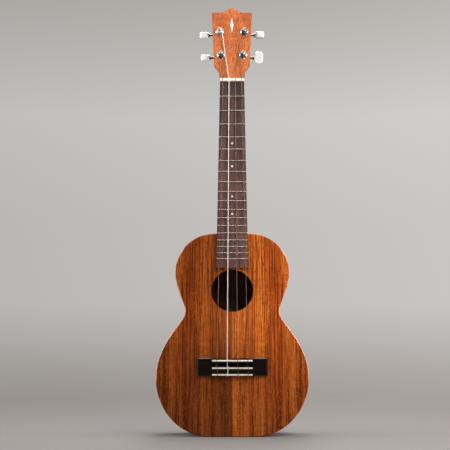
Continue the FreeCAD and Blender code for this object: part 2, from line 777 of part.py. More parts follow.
def worm_shaft():
    """Worm, journals and the stem that carries the button."""
    core = cylinder(WORM_CORE, Vector(-SHAFT_END, 0, 0), Vector(EAR_X, 0, 0))
    shaft = core.fuse(worm_thread())
    for x0, x1, radius in [(-SHAFT_END, 0.1 - EAR_X, SHAFT_R), (EAR_X - 0.1, BUTTON_X - 1.9, SHAFT_R),
                           (EAR_X + EAR_T + 0.1, EAR_X + EAR_T + 1.2, COLLAR_R),
                           (EAR_X + EAR_T + 1.2, BUTTON_X - 1.9, STEM_R),
                           (EAR_X - 1.1, EAR_X - 0.1, COLLAR_R), (1.1 - EAR_X, 0.1 - EAR_X, COLLAR_R),
                           (BUTTON_X - 1.9, BUTTON_X, 2.9), (BUTTON_X, BUTTON_X + TENON_LEN, TENON_R)]:
        shaft = shaft.fuse(cylinder(radius, Vector(x0, 0, 0), Vector(x1, 0, 0)))
    return moved(shaft.removeSplitter(), Placement(WORM_AXIS, Rotation()))


def button(turn):
    """An oval grip, rounded all over, turned about its shaft."""
    x0 = BUTTON_X
    x1 = BUTTON_X + BUTTON_LEN
    half = BUTTON_W / 2
    points = [(x0, -half * 0.5), (x0 + 3.2, -half), (x1 - 3.4, -half), (x1, -half * 0.6),
              (x1, half * 0.6), (x1 - 3.4, half), (x0 + 3.2, half), (x0, half * 0.5)]
    face = polygon_face([(x, v, -BUTTON_T / 2) for x, v in points])
    grip = face.extrude(Vector(0, 0, BUTTON_T))
    grip = grip.makeFillet(2.2, grip.Edges)
    grip = grip.cut(cylinder(TENON_R, Vector(BUTTON_X - 1, 0, 0), Vector(BUTTON_X + TENON_LEN, 0, 0)))
    return moved(grip, Placement(WORM_AXIS, Rotation(X_AXIS, turn)))


def tuner_plate():
    """A long thin plate with two bearing ears that hold the worm's shaft."""
    plate = box(-TUNER_PLATE_HALF_W, TUNER_PLATE_HALF_W, *TUNER_PLATE_V, PLATE_BACK, CORE_BACK)
    plate = plate.makeFillet(4.0, [e for e in plate.Edges if e.Length < 1.3])
    for side in (-1, 1):
        x0 = side * (EAR_X + EAR_T / 2) - EAR_T / 2
        ear = box(x0, x0 + EAR_T, WORM_V - EAR_R, WORM_V + EAR_R, WORM_DEPTH, PLATE_BACK)
        near = Vector(x0, WORM_V, WORM_DEPTH)
        ear = ear.fuse(cylinder(EAR_R, near, near + Vector(EAR_T, 0, 0)))
        bore = cylinder(SHAFT_R + RUN_GAP, near - X_AXIS, near + Vector(EAR_T + 1, 0, 0))
        plate = plate.fuse(ear).cut(bore)
    plate = plate.cut(post_cylinder(JOURNAL_R + RUN_GAP, PLATE_BACK - 1, CORE_BACK + 1))
    for v in SCREW_V:
        plate = plate.cut(cylinder(SCREW_R, Vector(0, v, PLATE_BACK - 1), Vector(0, v, CORE_BACK + 1)))
    return plate.removeSplitter()


def tuner_bushing():
    """A hexagon on a washer, with a sleeve down the hole."""
    flats = 5.6
    corner = flats / math.cos(math.pi / 6)
    bearings = [k * math.pi / 3 for k in range(6)]
    points = [(corner * math.cos(b), corner * math.sin(b), PLATE_T) for b in bearings]
    nut_body = polygon_face(points).extrude(Vector(0, 0, 2.2))
    cone = Part.makeCone(flats + 1.6, flats - 0.6, 2.4, Vector(0, 0, PLATE_T))
    nut_body = nut_body.common(cone)
    ring = post_cylinder(6.9, PLATE_T, PLATE_T + 0.6)
    sleeve = post_cylinder(SLEEVE_R, CORE_BACK + 1, PLATE_T)
    return sleeve.fuse(ring).fuse(nut_body).cut(post_cylinder(POST_R + RUN_GAP, -30, 30)).removeSplitter()


def tuner_screws():
    screws = []
    for v in SCREW_V:
        head = Part.makeCone(1.5, 2.3, 1.1, Vector(0, v, PLATE_BACK - 1.1))
        slot = box(-3, 3, v - 0.3, v + 0.3, PLATE_BACK - 2, PLATE_BACK - 0.6)
        shank = cylinder(SCREW_R, Vector(0, v, PLATE_BACK), Vector(0, v, CORE_BACK + SCREW_LEN - 0.4))
        screws.append(head.cut(slot).fuse(shank))
    return screws


# ---- the whole ----
def tuner_parts():
    """Every tuner's pieces, placed on the head and named by their post."""
    parts = {}
    fixed = {"tuner_plates": [tuner_plate()], "tuner_bushings": [tuner_bushing()],
             "tuner_screws": tuner_screws()}
    groups = {name: [] for name in fixed}
    wound = {(STRING_POST[s] + ("_bass" if STRING_SIDE[s] < 0 else "_treble")): s for s in STRINGS}
    shared = {"tuner_post": tuner_post(), "tuner_gear": tuner_gear(), "gear_screw": gear_screw(),
              "worm_shaft": worm_shaft()}
    for place, side, x, v in post_places():
        own = dict(shared)
        own["tuner_button"] = button(BUTTON_TURN[place])
        own["string_winding"] = winding(wound[place])
        for name, shape in own.items():
            parts[name + "_" + place] = place_tuner(shape, side, x, v)
        for name, shapes in fixed.items():
            groups[name] += [place_tuner(shape, side, x, v) for shape in shapes]
    for name, shapes in groups.items():
        parts[name] = Part.makeCompound(shapes)
    return parts


def place_tuner(shape, side, x, v):
    there = moved(shape, Placement(Vector(x, v, 0), Rotation()))
    if side < 0:
        there = mirrored(there)
    return moved(there, HEAD)


def body_parts():
    plate = bridge_plate()
    braces = back_braces()
    halves = {"soundboard": soundboard_half(), "back": back_half(), "side": side_half()}
    parts = {}
    for name, shape in halves.items():
        suffix = "" if name == "side" else "_half"
        parts[name + "_treble" + suffix] = shape
        parts[name + "_bass" + suffix] = mirrored(shape)
    parts["neck_block"] = end_block(NECK_BLOCK)
    parts["tail_block"] = end_block(TAIL_BLOCK)
    parts["top_linings"] = top_linings()
    parts["back_linings"] = back_linings()
    parts["upper_transverse_brace"] = transverse_brace(UPPER_BRACE_U, TOP_IN, -BRACE_T)
    parts["lower_transverse_brace"] = transverse_brace(LOWER_BRACE_U, TOP_IN, -BRACE_T)
    parts["fan_braces"] = fan_braces(plate)
    parts["bridge_plate"] = plate
    parts["soundhole_ring"] = soundhole_ring()
    parts["back_braces"] = braces
    parts["back_seam_strip"] = back_seam_strip(braces)
    return parts


def neck_parts():
    inlay = headplate_inlay()
    fret_set = frets()
    dots = fret_dots()
    edge_dots = side_dots()
    channels = [string(name, 0.02) for name in STRINGS]
    saddle_bar = saddle_blank()
    strips = tie_block_strips()
    parts = {
        "neck": neck(),
        "heel_cap": heel_cap(),
        "headplate": headplate(inlay),
        "headplate_inlay": moved(inlay, HEAD),
        "fretboard": fretboard(fret_set, dots, edge_dots),
        "frets": fret_set,
        "fret_dots": dots,
        "side_dots": edge_dots,
        "nut": nut(channels),
        "bridge": bridge(saddle_bar, strips),
        "saddle": saddle_bar,
        "tie_block_strips": strips,
    }
    for channel in channels:
        parts["saddle"] = parts["saddle"].cut(channel)
    for name in STRINGS:
        parts["string_" + name] = string(name, 0)
    return parts


def main():
    os.makedirs("parts", exist_ok=True)
    parts = {}
    parts.update(body_parts())
    parts.update(neck_parts())
    parts.update(tuner_parts())
    for name, shape in sorted(parts.items()):
        upright = moved(shape, UPRIGHT)
        upright.exportStep("parts/" + name + ".step")
        extent = upright.BoundBox
        print(f"{name:28s} solids {len(upright.Solids):2d} valid {upright.isValid()} "
              f"volume {upright.Volume:10.1f}  x {extent.XMin:7.1f} {extent.XMax:7.1f}  "
              f"y {extent.YMin:6.1f} {extent.YMax:6.1f}  z {extent.ZMin:6.1f} {extent.ZMax:6.1f}")
    print(len(parts), "nodes")


main()
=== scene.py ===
import json
import math

import bmesh
import bpy
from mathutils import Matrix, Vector


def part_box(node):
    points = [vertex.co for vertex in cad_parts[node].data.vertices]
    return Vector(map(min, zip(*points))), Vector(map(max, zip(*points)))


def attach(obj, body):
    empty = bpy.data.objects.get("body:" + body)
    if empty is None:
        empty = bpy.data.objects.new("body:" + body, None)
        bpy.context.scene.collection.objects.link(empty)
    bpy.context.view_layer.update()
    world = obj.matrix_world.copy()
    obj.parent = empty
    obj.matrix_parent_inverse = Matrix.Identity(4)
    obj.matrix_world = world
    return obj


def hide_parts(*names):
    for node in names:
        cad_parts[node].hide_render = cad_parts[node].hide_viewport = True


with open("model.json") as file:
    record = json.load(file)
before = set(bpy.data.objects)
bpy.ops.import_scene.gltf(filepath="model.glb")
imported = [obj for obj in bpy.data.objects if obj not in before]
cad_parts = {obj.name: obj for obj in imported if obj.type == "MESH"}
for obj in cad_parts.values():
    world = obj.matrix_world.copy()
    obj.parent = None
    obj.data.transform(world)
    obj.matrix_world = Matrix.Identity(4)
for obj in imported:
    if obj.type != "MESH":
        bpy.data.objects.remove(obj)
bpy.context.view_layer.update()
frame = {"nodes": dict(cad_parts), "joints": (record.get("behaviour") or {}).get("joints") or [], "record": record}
NODES = frame["nodes"]
MM = 0.001


# ---------------------------------------------------------------- nodes, joints and places
JOINTS = {joint["name"]: joint for joint in frame["joints"]}
PLACES = ["lower_bass", "lower_treble", "upper_bass", "upper_treble"]
SLOT_OF = {part["node"]: part["material_slot"] for part in frame["record"]["subparts"]}
BODIES = frame["record"]["behaviour"]["bodies"]
BODY_OF = {node: body for body, members in BODIES.items() for node in members}

FACE_NORMAL = Vector(JOINTS["post_turn_lower_bass"]["axis"])    # out of the head's face
FACE_UP = FACE_NORMAL.cross(Vector((1, 0, 0)))                  # up the head
OUT_FRONT = Vector((0, -1, 0))
OUT_BACK = Vector((0, 1, 0))

HOLE_LOW, HOLE_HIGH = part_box("soundhole_ring")
HOLE = (HOLE_LOW + HOLE_HIGH) / 2
HOLE_REACH = 33.0 * MM                                          # just more than the soundhole's radius
BRIDGE_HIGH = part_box("bridge")[1]


# ---------------------------------------------------------------- node graphs
class Graph:
    """Short calls for building a node tree. Lengths are in metres."""

    def __init__(self, tree):
        self.tree = tree

    def add(self, kind, **settings):
        made = self.tree.nodes.new(kind)
        for key, value in settings.items():
            setattr(made, key, value)
        return made

    def feed(self, socket, value):
        if isinstance(value, bpy.types.NodeSocket):
            self.tree.links.new(value, socket)
        else:
            socket.default_value = value

    def coords(self, kind):
        return self.add("ShaderNodeTexCoord").outputs[kind]

    def axes(self, vector):
        made = self.add("ShaderNodeSeparateXYZ")
        self.feed(made.inputs[0], vector)
        return made.outputs

    def vector(self, x, y, z):
        made = self.add("ShaderNodeCombineXYZ")
        for socket, value in zip(made.inputs, (x, y, z)):
            self.feed(socket, value)
        return made.outputs[0]

    def scaled(self, vector, x, y, z):
        made = self.add("ShaderNodeVectorMath", operation="MULTIPLY")
        self.feed(made.inputs[0], vector)
        made.inputs[1].default_value = (x, y, z)
        return made.outputs[0]

    def math(self, operation, a, b=0.0, clamp=False):
        made = self.add("ShaderNodeMath", operation=operation, use_clamp=clamp)
        self.feed(made.inputs[0], a)
        self.feed(made.inputs[1], b)
        return made.outputs[0]

    def plus(self, a, b, clamp=False):
        return self.math("ADD", a, b, clamp)

    def times(self, a, b):
        return self.math("MULTIPLY", a, b)

    def swing(self, noise, reach):
        """Turns a noise of 0 to 1 into a shift to both sides."""
        return self.times(self.math("SUBTRACT", noise, 0.5), reach)

    def halved(self, value):
        """Takes -1 to 1 onto 0 to 1."""
        return self.plus(self.times(value, 0.5), 0.5)

    def noise(self, vector, scale, detail=2.0, rough=0.5, distortion=0.0):
        made = self.add("ShaderNodeTexNoise")
        self.feed(made.inputs["Vector"], vector)
        made.inputs["Scale"].default_value = scale
        made.inputs["Detail"].default_value = detail
        made.inputs["Roughness"].default_value = rough
        made.inputs["Distortion"].default_value = distortion
        return made.outputs["Fac"]

    def ramp(self, fac, *stops):
        """Stops are (position, colour), a colour being a grey number or three numbers."""
        made = self.add("ShaderNodeValToRGB")
        self.feed(made.inputs[0], fac)
        elements = made.color_ramp.elements
        while len(elements) < len(stops):
            elements.new(0.5)
        for element, (position, colour) in zip(elements, stops):
            if isinstance(colour, (int, float)):
                colour = (colour, colour, colour)
            element.position = position
            element.color = (*colour, 1)
        return made.outputs[0]

    def mix(self, fac, a, b, blend="MIX"):
        made = self.add("ShaderNodeMix", data_type="RGBA", blend_type=blend)
        self.feed(made.inputs[0], fac)
        for socket, value in ((made.inputs[6], a), (made.inputs[7], b)):
            if isinstance(value, tuple):
                value = (*value, 1)
            self.feed(socket, value)
        return made.outputs[2]

    def shade(self, colour, by, strength=1.0):
        return self.mix(strength, colour, by, "MULTIPLY")

    def bump(self, height, distance, strength=1.0, under=None):
        made = self.add("ShaderNodeBump")
        made.inputs["Strength"].default_value = strength
        made.inputs["Distance"].default_value = distance
        self.feed(made.inputs["Height"], height)
        if under is not None:
            self.feed(made.inputs["Normal"], under)
        return made.outputs[0]


class Material(Graph):
    """A material's graph. place is the surface point's place in the row frame, at rest."""

    def __init__(self, name):
        self.material = bpy.data.materials.new(name)
        self.material.use_nodes = True
        super().__init__(self.material.node_tree)
        self.shader = self.tree.nodes["Principled BSDF"]
        self.place = self.coords("Object")

    def finish(self, colour, roughness, normal=None, **fixed):
        """Feeds the shader. fixed holds its other settings, with _ for the spaces in their names."""
        self.feed(self.shader.inputs["Base Color"], colour)
        self.feed(self.shader.inputs["Roughness"], roughness)
        if normal is not None:
            self.feed(self.shader.inputs["Normal"], normal)
        for key, value in fixed.items():
            self.shader.inputs[key.replace("_", " ")].default_value = value
        return self.material


def linear(r, g, b):
    """A screen colour, 0 to 255, as the linear colour that the shaders take."""
    out = []
    for c in (r, g, b):
        c = c / 255
        out.append(c / 12.92 if c <= 0.04045 else ((c + 0.055) / 1.055) ** 2.4)
    return tuple(out)


def scale_colour(colour, factor):
    return tuple(min(1, c * factor) for c in colour)


# ---------------------------------------------------------------- koa
SOUNDBOARD_SPAN = 0.32        # the height over which the painted light and shade below are spread
# painted light and shade on the soundboard, brighter at the upper bout, darker towards the tail: height above the
# tail, factor
BOARD_PAINTED_LIGHT = [(0.0, 0.64), (0.06, 0.72), (0.11, 0.86), (0.16, 1.10), (0.20, 1.30), (0.24, 1.10),
              (0.28, 1.04)]
BASS_PAINTED_SHADE = 0.58             # painted shade: the bass half's colour is darkened, as its fibres lean away from the light
# painted shade for the back's inner face inside the dim soundbox
INSIDE_PAINTED_SHADE = 0.35


def koa(name, light, dark, deep, along="z", mirror=False, shift=(0, 0, 0), curl=0.16, shading=None):
    """Figured koa: broad bands, fine streaks, flecks, open pores and a faint ripple across the grain.

    along is the grain's axis, or rim where it follows the bent side. With mirror, both halves of a
    bookmatched plate share one pattern. shift moves the pattern, so that the boards differ, curl is the
    ripple's strength, and shading is a function that shades the finished colour.
    """
    g = Material(name)
    across, depth, length = koa_place(g, along, mirror, shift)
    grain = g.vector(across, depth, g.times(length, 0.030))
    streak = g.noise(grain, 330.0, 3.0, 0.62)
    fibre = g.noise(g.scaled(grain, 1, 1, 1.6), 1900.0, 2.0, 0.6)
    base = koa_bands(g, grain, streak, fibre, light, dark, deep)
    base = koa_flecks(g, base, across, depth, length, light)
    # open pores: short dark dashes that follow the grain
    dashes = g.noise(g.vector(across, depth, g.times(length, 0.11)), 1500.0, 0.0)
    spread = g.noise(grain, 120.0, 1.0)
    pores = g.times(g.ramp(dashes, (0.66, 0.0), (0.74, 1.0)), g.ramp(spread, (0.35, 0.3), (0.6, 1.0)))
    base = g.mix(g.times(pores, 0.75), base, scale_colour(deep, 0.35))
    # ripples of light across the grain
    ripple = g.noise(g.vector(g.times(across, 0.30), depth, length), 150.0, 3.0, 0.6, 0.8)
    where = g.noise(g.scaled(g.place, 1, 1, 1.4), 17.0, 1.0)
    figure = g.times(g.ramp(where, (0.42, 0.15), (0.62, 1.0)), curl)
    base = g.mix(figure, base, g.ramp(ripple, (0.38, 0.05), (0.62, 0.95)), "OVERLAY")
    if shading:
        base = shading(g, base)
    normal = g.bump(fibre, 0.00012, 0.25)
    normal = g.bump(g.times(pores, -1.0), 0.00018, 0.6, normal)
    return g.finish(base, g.plus(0.38, g.swing(streak, 0.22)), normal, Coat_Weight=0.5, Coat_Roughness=0.16,
                    Specular_IOR_Level=0.06)


def koa_place(g, along, mirror, shift):
    """A point's place in the board: across the grain, in depth and along it. The grain wanders sideways."""
    moved = g.add("ShaderNodeVectorMath", operation="ADD")
    g.feed(moved.inputs[0], g.place)
    moved.inputs[1].default_value = shift
    x, y, z = g.axes(moved.outputs[0])
    across, depth = (g.math("ABSOLUTE", x) if mirror else x), y
    if along == "rim":
        across, depth = y, g.times(x, 0.03)
    wander = g.noise(g.vector(g.times(across, 0.6), 0.0, z), 7.0, 2.0)
    return g.plus(across, g.swing(wander, 0.008)), depth, z


def koa_bands(g, grain, streak, fibre, light, dark, deep):
    """Broad bands, streaks, thin lines and fibres, all along the grain."""
    between = tuple((a + b) / 2 for a, b in zip(deep, dark))
    broad = g.noise(grain, 62.0, 2.0, 0.5)
    lines = g.noise(g.scaled(grain, 1, 1, 0.6), 760.0, 2.0, 0.55)
    base = g.ramp(broad, (0.26, between), (0.46, dark), (0.58, light), (0.80, scale_colour(light, 1.15)))
    base = g.mix(g.ramp(streak, (0.38, 0.75), (0.48, 0.0)), base, deep)
    base = g.mix(g.ramp(streak, (0.55, 0.0), (0.70, 0.5)), base, scale_colour(light, 1.4))
    base = g.mix(g.ramp(lines, (0.34, 0.75), (0.42, 0.0)), base, deep)
    base = g.mix(g.ramp(lines, (0.57, 0.0), (0.68, 0.4)), base, scale_colour(light, 1.5))
    return g.shade(base, g.ramp(fibre, (0.32, 0.35), (0.62, 1.1)), 0.5)


def koa_flecks(g, base, across, depth, length, light):
    """Short golden flecks where the fibres come up to the surface."""
    flecks = g.noise(g.vector(across, depth, g.times(length, 0.42)), 680.0, 2.0, 0.6)
    bright = g.noise(g.vector(across, depth, g.times(length, 0.25)), 34.0, 1.0)
    glow = g.times(g.ramp(flecks, (0.54, 0.0), (0.68, 0.52)), g.ramp(bright, (0.42, 0.15), (0.6, 1.0)))
    return g.mix(glow, base, scale_colour(light, 1.6))


def soundboard_shading(g, base):
    """Painted light and shade along the board, and a bass half painted darker, most beside the seam near the tail.
    """
    x, _, z = g.axes(g.place)
    stops = [(height / SOUNDBOARD_SPAN, factor) for height, factor in BOARD_PAINTED_LIGHT]
    # painted light and shade along the board
    base = g.shade(base, g.ramp(g.math("DIVIDE", z, SOUNDBOARD_SPAN, clamp=True), *stops))
    # painted shade on the bass half, and painted light on the treble half beside the seam near the tail
    even = g.ramp(g.plus(g.times(x, 900.0), 0.5, clamp=True), (0.0, BASS_PAINTED_SHADE), (1.0, 1.0))
    tail = g.ramp(g.plus(g.times(x, 4.0), 0.5, clamp=True), (0.0, BASS_PAINTED_SHADE), (0.38, BASS_PAINTED_SHADE),
                  (0.497, BASS_PAINTED_SHADE * 0.72), (0.503, 1.30), (0.62, 0.98), (1.0, 0.98))
    near_tail = g.ramp(g.times(z, 5.0), (0.35, 1.0), (0.75, 0.0))
    return g.shade(base, g.mix(near_tail, even, tail))


def back_shading(g, base):
    """Painted shade on the back's inner face, which looks forward into the dim soundbox."""
    forward = g.axes(g.coords("Normal"))[1]
    return g.shade(base, g.ramp(g.halved(forward), (0.2, INSIDE_PAINTED_SHADE), (0.3, 1.0)))


# ---------------------------------------------------------------- the other materials
def plain_wood(name, light, dark, scale, rough, pore):
    """A quieter straight-grained wood. scale makes its pattern finer, and pore is how dark its pores are."""
    g = Material(name)
    x, y, z = g.axes(g.place)
    grain = g.vector(x, y, g.times(z, 0.04))
    wide = g.noise(grain, 90.0 * scale, 3.0, 0.55, 0.3)
    fine = g.noise(grain, 700.0 * scale, 3.0, 0.65)
    base = g.ramp(wide, (0.32, dark), (0.66, light))
    base = g.shade(base, g.ramp(fine, (0.34, 0.45), (0.62, 1.0)), 0.5)
    dashes = g.noise(g.vector(x, y, g.times(z, 0.09)), 1700.0 * scale, 0.0)
    pores = g.ramp(dashes, (0.64, 0.0), (0.72, 1.0))
    base = g.mix(g.times(pores, pore), base, scale_colour(dark, 0.3))
    normal = g.bump(fine, 0.0001, 0.3)
    normal = g.bump(g.times(pores, -1.0), 0.00015, 0.5, normal)
    return g.finish(base, g.plus(rough, g.swing(fine, 0.2)), normal, Specular_IOR_Level=0.4)


def rosewood():
    """The fretboard: dark lines and open pores along the neck, worn a little paler here and there."""
    g = Material("rosewood")
    x, y, z = g.axes(g.place)
    wander = g.noise(g.vector(g.times(x, 0.5), 0.0, z), 9.0, 1.0)
    across = g.plus(x, g.swing(wander, 0.008))
    grain = g.vector(across, y, g.times(z, 0.035))
    wide = g.noise(grain, 190.0, 3.0, 0.6)
    fine = g.noise(grain, 900.0, 3.0, 0.65)
    base = g.ramp(wide, (0.30, linear(58, 30, 26)), (0.52, linear(90, 54, 47)), (0.70, linear(116, 76, 68)))
    base = g.shade(base, g.ramp(fine, (0.32, 0.35), (0.62, 1.0)), 0.6)
    worn = g.noise(g.vector(x, y, g.times(z, 0.5)), 60.0, 2.0)
    base = g.mix(g.ramp(worn, (0.45, 0.0), (0.75, 0.22)), base, linear(142, 104, 94))
    # painted light and shade: paler towards the body, darker towards the nut
    base = g.shade(base, g.ramp(g.times(z, 1.6), (0.38, 1.5), (0.62, 1.25), (0.80, 0.80), (0.88, 0.52)))
    dashes = g.noise(g.vector(across, y, g.times(z, 0.08)), 1900.0, 0.0)
    pores = g.ramp(dashes, (0.62, 0.0), (0.70, 1.0))
    base = g.mix(g.times(pores, 0.7), base, linear(34, 22, 19))
    normal = g.bump(fine, 0.0001, 0.3)
    normal = g.bump(g.times(pores, -1.0), 0.0002, 0.7, normal)
    return g.finish(base, g.plus(0.46, g.swing(wide, 0.3)), normal, Specular_IOR_Level=0.4)


def ebony():
    """The bridge: nearly black, polished, with faint brown lines from end to end."""
    g = Material("ebony")
    x, y, z = g.axes(g.place)
    grain = g.vector(g.times(x, 0.05), y, z)
    wide = g.noise(grain, 260.0, 3.0, 0.6)
    fine = g.noise(grain, 1300.0, 2.0, 0.6)
    base = g.ramp(wide, (0.35, linear(12, 4, 2)), (0.6, linear(24, 9, 4)), (0.78, linear(46, 20, 10)))
    base = g.shade(base, g.ramp(fine, (0.35, 0.5), (0.6, 1.0)), 0.4)
    return g.finish(base, g.plus(0.30, g.times(fine, 0.14)), g.bump(fine, 0.00008, 0.3),
                    Specular_IOR_Level=0.15, Coat_Weight=0.6, Coat_Roughness=0.14)


def spruce():
    """Bare wood inside the soundbox, with fine rings, darker than bare spruce: painted shade for the dim inside.
    """
    g = Material("spruce")
    x, y, z = g.axes(g.place)
    rings = g.noise(g.vector(x, g.times(y, 3.0), g.times(z, 0.03)), 420.0, 2.0, 0.5)
    fine = g.noise(g.vector(x, y, g.times(z, 0.05)), 1600.0, 2.0, 0.6)
    base = g.ramp(rings, (0.36, linear(84, 56, 33)), (0.6, linear(112, 80, 50)))
    base = g.shade(base, g.ramp(fine, (0.3, 0.6), (0.6, 1.0)), 0.4)
    return g.finish(base, 0.75, g.bump(fine, 0.0001, 0.4))


def bone():
    """The nut and the saddle: cloudy off-white with fine darker specks."""
    g = Material("bone")
    cloud = g.noise(g.place, 160.0, 3.0, 0.5)
    speck = g.noise(g.scaled(g.place, 0.25, 1, 1), 2600.0, 1.0)
    base = g.ramp(cloud, (0.35, linear(232, 225, 205)), (0.65, linear(247, 244, 234)))
    base = g.mix(g.ramp(speck, (0.64, 0.0), (0.75, 0.35)), base, linear(190, 176, 148))
    return g.finish(base, g.plus(0.26, g.times(cloud, 0.12)), g.bump(speck, 0.00004, 0.3),
                    Subsurface_Weight=0.15, Subsurface_Radius=(0.002, 0.0015, 0.001), Coat_Weight=0.2)


def pearl(name, scale, tint):
    """Shell or pearly plastic: soft swirls that differ a little in tint. scale makes them finer."""
    g = Material(name)
    flow = g.noise(g.place, scale, 3.0, 0.55, 2.6)
    bands = g.noise(g.scaled(g.place, 1.0, 0.35, 0.5), scale * 3.2, 2.0, 0.5, 1.2)
    base = g.ramp(flow, (0.30, scale_colour(tint, 0.84)), (0.5, tint), (0.7, scale_colour(tint, 1.08)))
    base = g.mix(g.ramp(bands, (0.45, 0.0), (0.7, 0.3)), base, linear(244, 246, 247))
    drift = g.noise(g.scaled(g.place, 0.4, 1.0, 1.0), scale * 0.8, 1.0)
    tinge = g.ramp(drift, (0.35, linear(248, 251, 249)), (0.5, linear(238, 248, 249)),
                   (0.65, linear(246, 246, 253)))
    base = g.shade(base, tinge, 0.3)
    return g.finish(base, g.plus(0.16, g.times(bands, 0.14)), g.bump(flow, 0.0001, 0.12),
                    Coat_Weight=0.5, Coat_Roughness=0.08, Subsurface_Weight=0.2,
                    Subsurface_Radius=(0.003, 0.003, 0.003))


def metal(name, colour, rough, brushed=(1, 1, 1), grime=0.12):
    """Polished or brushed metal with faint handling marks. brushed stretches the marks along one axis."""
    g = Material(name)
    marks = g.noise(g.scaled(g.place, *brushed), 900.0, 3.0, 0.6)
    cloud = g.noise(g.place, 220.0, 3.0, 0.6)
    base = g.ramp(cloud, (0.3, scale_colour(colour, 1 - grime)), (0.65, colour))
    roughness = g.plus(rough, g.times(g.ramp(cloud, (0.4, 0.0), (0.75, 1.0)), 0.10))
    roughness = g.plus(roughness, g.swing(marks, 0.12), clamp=True)
    return g.finish(base, roughness, g.bump(marks, 0.00003, 0.25), Metallic=1.0)


def clear_string():
    """Half-clear nylon."""
    g = Material("string_clear")
    lines = g.noise(g.scaled(g.place, 1, 1, 0.05), 4000.0, 2.0)
    base = g.ramp(lines, (0.3, linear(104, 88, 78)), (0.7, linear(140, 122, 110)))
    return g.finish(base, g.plus(0.18, g.times(lines, 0.12)), g.bump(lines, 0.00002, 0.2),
                    Transmission_Weight=0.5, IOR=1.45, Specular_IOR_Level=0.6)


WRAP_PITCH = 0.22 * MM


def wound_string():
    """Fine silvery wrap wire: a ridge for each turn along the string."""
    g = Material("string_silver")
    z = g.axes(g.place)[2]
    turns = g.math("SINE", g.times(z, 2 * math.pi / WRAP_PITCH))
    # painted shade in the grooves between the turns and painted highlight on their crests, with the bump for the
    # ridges
    shade = g.ramp(g.halved(turns), (0.0, linear(208, 200, 188)), (0.6, linear(255, 253, 244)))
    tarnish = g.noise(g.scaled(g.place, 1, 1, 0.2), 240.0, 2.0)
    base = g.mix(g.ramp(tarnish, (0.5, 0.0), (0.8, 0.3)), shade, linear(190, 168, 150))
    return g.finish(base, g.plus(0.30, g.times(tarnish, 0.1)), g.bump(turns, 0.00004, 0.5),
                    Metallic=0.1, Specular_IOR_Level=0.8)


MATERIALS = {
    "koa_front": koa("koa_front", linear(218, 114, 43), linear(174, 76, 22), linear(98, 34, 7),
                     mirror=True, shading=soundboard_shading),
    "koa_back": koa("koa_back", linear(184, 88, 22), linear(150, 66, 14), linear(98, 40, 8),
                    shift=(0.3, 0.2, 0.11), shading=back_shading),
    "koa_side": koa("koa_side", linear(182, 86, 22), linear(150, 66, 14), linear(100, 42, 8),
                    shift=(0.1, 0.6, 0.4), along="rim"),
    "koa_veneer": koa("koa_veneer", linear(208, 118, 66), linear(195, 105, 57), linear(172, 86, 43),
                      shift=(0.7, 0.1, 0.9), curl=0.22),
    "mahogany": plain_wood("mahogany", linear(150, 84, 54), linear(112, 56, 36), 1.0, 0.42, 0.4),
    "rosewood_cap": plain_wood("rosewood_cap", linear(92, 60, 50), linear(58, 36, 30), 1.6, 0.5, 0.5),
    "spruce": spruce(),
    "rosewood": rosewood(),
    "ebony": ebony(),
    "bone": bone(),
    "pearl": pearl("pearl", 420.0, linear(232, 230, 224)),
    "fret_wire": metal("fret_wire", linear(214, 208, 198), 0.22, (0.05, 1, 1), 0.15),
    "button_pearloid": pearl("button_pearloid", 110.0, linear(248, 250, 248)),
    "gear_brass": metal("gear_brass", linear(206, 168, 96), 0.30, grime=0.25),
    "shaft_steel": metal("shaft_steel", linear(150, 150, 154), 0.32, (0.2, 1, 1), 0.3),
    "tuner_chrome": metal("tuner_chrome", linear(222, 225, 230), 0.10, grime=0.08),
    "string_clear": clear_string(),
    "string_silver": wound_string(),
}


def dress(obj, slot):
    obj.data.materials.clear()
    obj.data.materials.append(MATERIALS[slot])


for name, node in NODES.items():
    dress(node, SLOT_OF[name])


# ---------------------------------------------------------------- pieces that stand in for CAD nodes
def link(name, data):
    """Puts a mesh, a camera or a light into the scene."""
    made = bpy.data.objects.new(name, data)
    bpy.context.scene.collection.objects.link(made)
    return made


def place_piece(name, mesh, node):
    """A piece that stands in for a CAD node, on the node's body and in its material slot."""
    piece = link(name, mesh)
    dress(piece, SLOT_OF[node])
    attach(piece, BODY_OF[node])
    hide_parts(node)
    return piece


# ---------------------------------------------------------------- rounded plates
WELD = 0.002 * MM             # points of the CAD mesh that are this close are one point
FLAT = math.radians(0.4)      # facets that turn less than this are one face
SHARP = math.radians(35)      # edges that turn more than this are rounded
CREASE = math.radians(30)     # edges that turn more than this are shaded as a crease
SEAM_REACH = 0.3 * MM         # an edge this near the middle is on the seam
RIM_REACH = 0.1 * MM          # an edge this near the bridge's outline is on its rim
ALIGNED = 0.9                 # cosine above which a face looks along a direction
TURNED = 0.5                  # cosine below which it looks away from it
FORWARD = 0.7                 # cosine above which a face of the bridge is part of its front

# one flat facet along the edge
SOUNDBOARD_CHAMFER = 1.2 * MM
BRIDGE_CHAMFER = 0.9 * MM
# a round edge
BACK_ROUNDING = 1.3 * MM
HEAD_ROUNDING = 0.7 * MM
FRETBOARD_ROUNDING = 0.6 * MM
NUT_ROUNDING = 0.4 * MM
SADDLE_ROUNDING = 0.25 * MM


